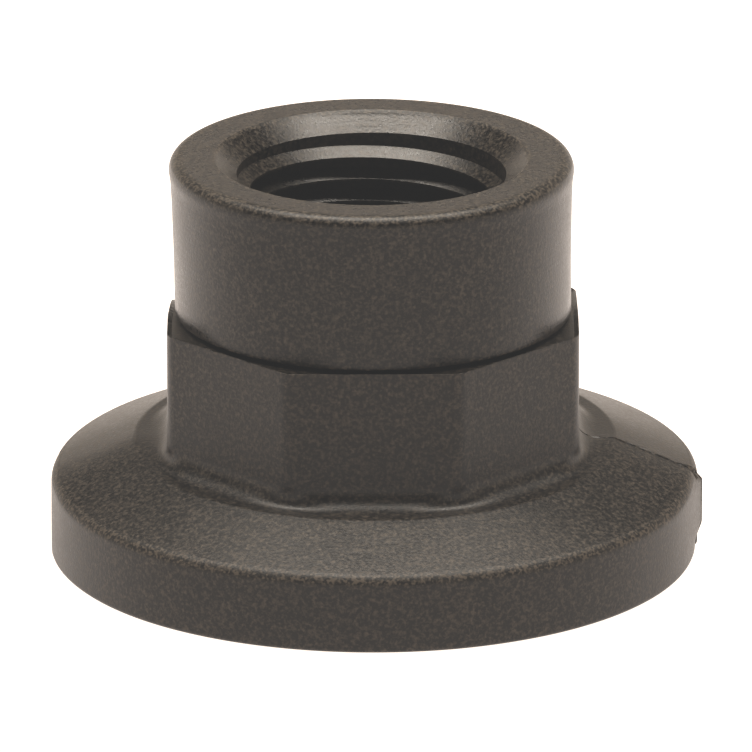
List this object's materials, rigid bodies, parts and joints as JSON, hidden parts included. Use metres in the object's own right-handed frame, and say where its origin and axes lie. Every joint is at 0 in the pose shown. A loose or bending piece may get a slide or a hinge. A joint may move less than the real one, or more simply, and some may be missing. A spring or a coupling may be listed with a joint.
{
  "type": "flange nut",
  "caption": "Black moulded flange nut: round conical-topped flange, octagonal spanner neck and round collar with a through right-hand thread.",
  "frame": {"origin": "where the bore's axis meets the flange's flat bearing face, which is the bottom of the part", "axes": "+Z along the bore axis, from the flange towards the threaded collar; +X and +Y are normal to flats of the octagonal neck, and the mould's parting plane is XZ"},
  "size_m": [0.0287, 0.0284, 0.0181],
  "materials": {
    "base_nylon": "fine matt mould texture, glass-filled nylon",
    "bush_nylon": "fine matt mould texture, glass-filled nylon"
  },
  "bodies": {
    "root": {"flange_base": "base_nylon", "threaded_bush": "bush_nylon"}
  },
  "joints": []
}
